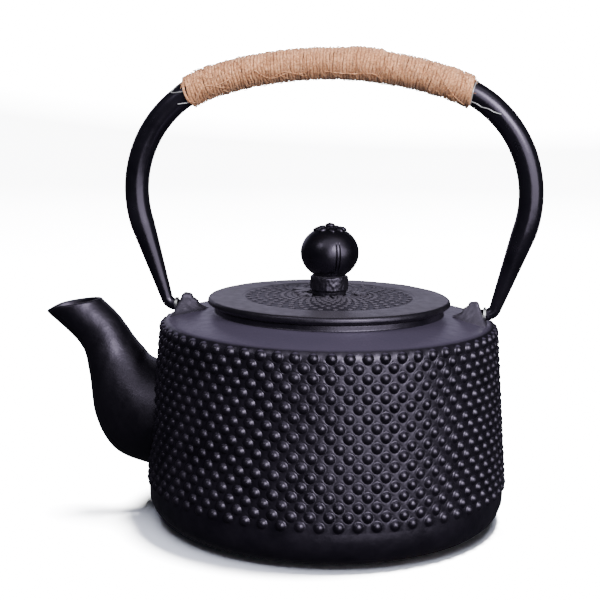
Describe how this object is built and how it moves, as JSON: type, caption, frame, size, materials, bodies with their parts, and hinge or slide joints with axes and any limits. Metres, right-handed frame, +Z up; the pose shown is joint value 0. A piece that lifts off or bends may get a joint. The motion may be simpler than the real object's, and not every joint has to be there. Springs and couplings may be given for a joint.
{
  "type": "cast iron teapot",
  "caption": "Cast iron teapot with a hobnail wall, curved spout, loose domed-knob lid, hanging strainer, and a black swing bail wrapped in jute twine.",
  "frame": {"origin": "centre of the flat base, on the surface that the pot stands on", "axes": "+Z up through the knob; the spout points to -X; the bail swings about a line parallel to X; -Y is the front"},
  "size_m": [0.2049, 0.1476, 0.1928],
  "materials": {
    "cast_iron": "dark blue-grey black patina, satin",
    "black_enamel": "gloss black",
    "jute": "rough natural twine",
    "wire": "dull grey annealed wire",
    "steel": "satin stainless"
  },
  "bodies": {
    "pot": {"pot_body": "cast_iron", "spout": "cast_iron", "rear_lug": "cast_iron", "spout_side_lug": "cast_iron", "strainer_rim": "steel", "strainer_mesh": "steel", "strainer_base": "steel"},
    "lid": {"lid": "cast_iron", "knob_collar": "cast_iron", "knob": "cast_iron", "knob_washer": "steel", "knob_nut": "steel"},
    "bail": {"bail_tube": "black_enamel", "rear_pivot_collar": "steel", "spout_side_pivot_collar": "steel", "jute_wrap": "jute", "rear_wire_tie": "wire", "spout_side_wire_tie": "wire"}
  },
  "joints": [
    {"name": "bail_swing", "type": "hinge", "parent": "pot", "child": "bail", "pos_m": [0, 0, 0.0864], "axis": [1, 0, 0], "range_deg": [-98, 98]},
    {"name": "lid_lift", "type": "slide", "parent": "pot", "child": "lid", "axis": [0, 0, 1], "range_m": [0, 0.05]}
  ]
}
